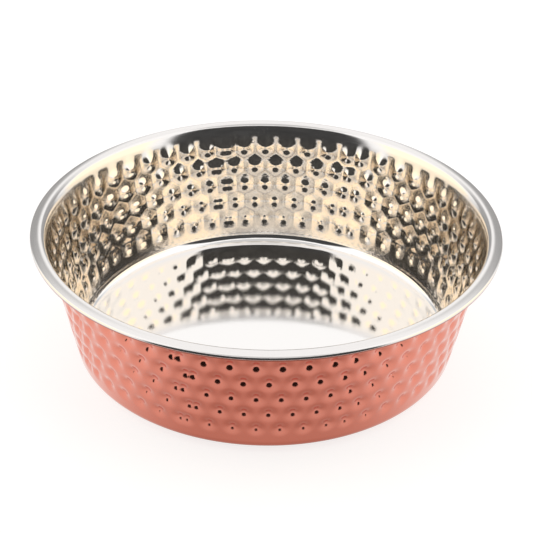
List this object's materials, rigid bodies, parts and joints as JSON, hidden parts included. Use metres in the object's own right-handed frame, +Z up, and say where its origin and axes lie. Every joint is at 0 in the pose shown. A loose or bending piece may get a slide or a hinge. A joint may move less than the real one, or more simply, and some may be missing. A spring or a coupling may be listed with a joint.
{
  "type": "bowl",
  "caption": "Round steel feeding bowl with a rolled rim, a leaning wall struck with rows of dimples, a copper-coloured outside and a rubber ring underneath",
  "frame": {"origin": "centre of the plane the bowl rests on, the underside of the rubber ring", "axes": "+Z is up, the axis of the bowl; the bowl is round, so +X and +Y are any two level directions at right angles"},
  "size_m": [0.21, 0.21, 0.062],
  "materials": {
    "steel": "mirror-polished stainless steel",
    "copper_finish": "glossy copper-coloured metallic finish",
    "ring_rubber": "matt black rubber"
  },
  "bodies": {
    "root": {"bowl_shell": "steel", "copper_skin": "copper_finish", "base_ring": "ring_rubber"}
  },
  "joints": []
}
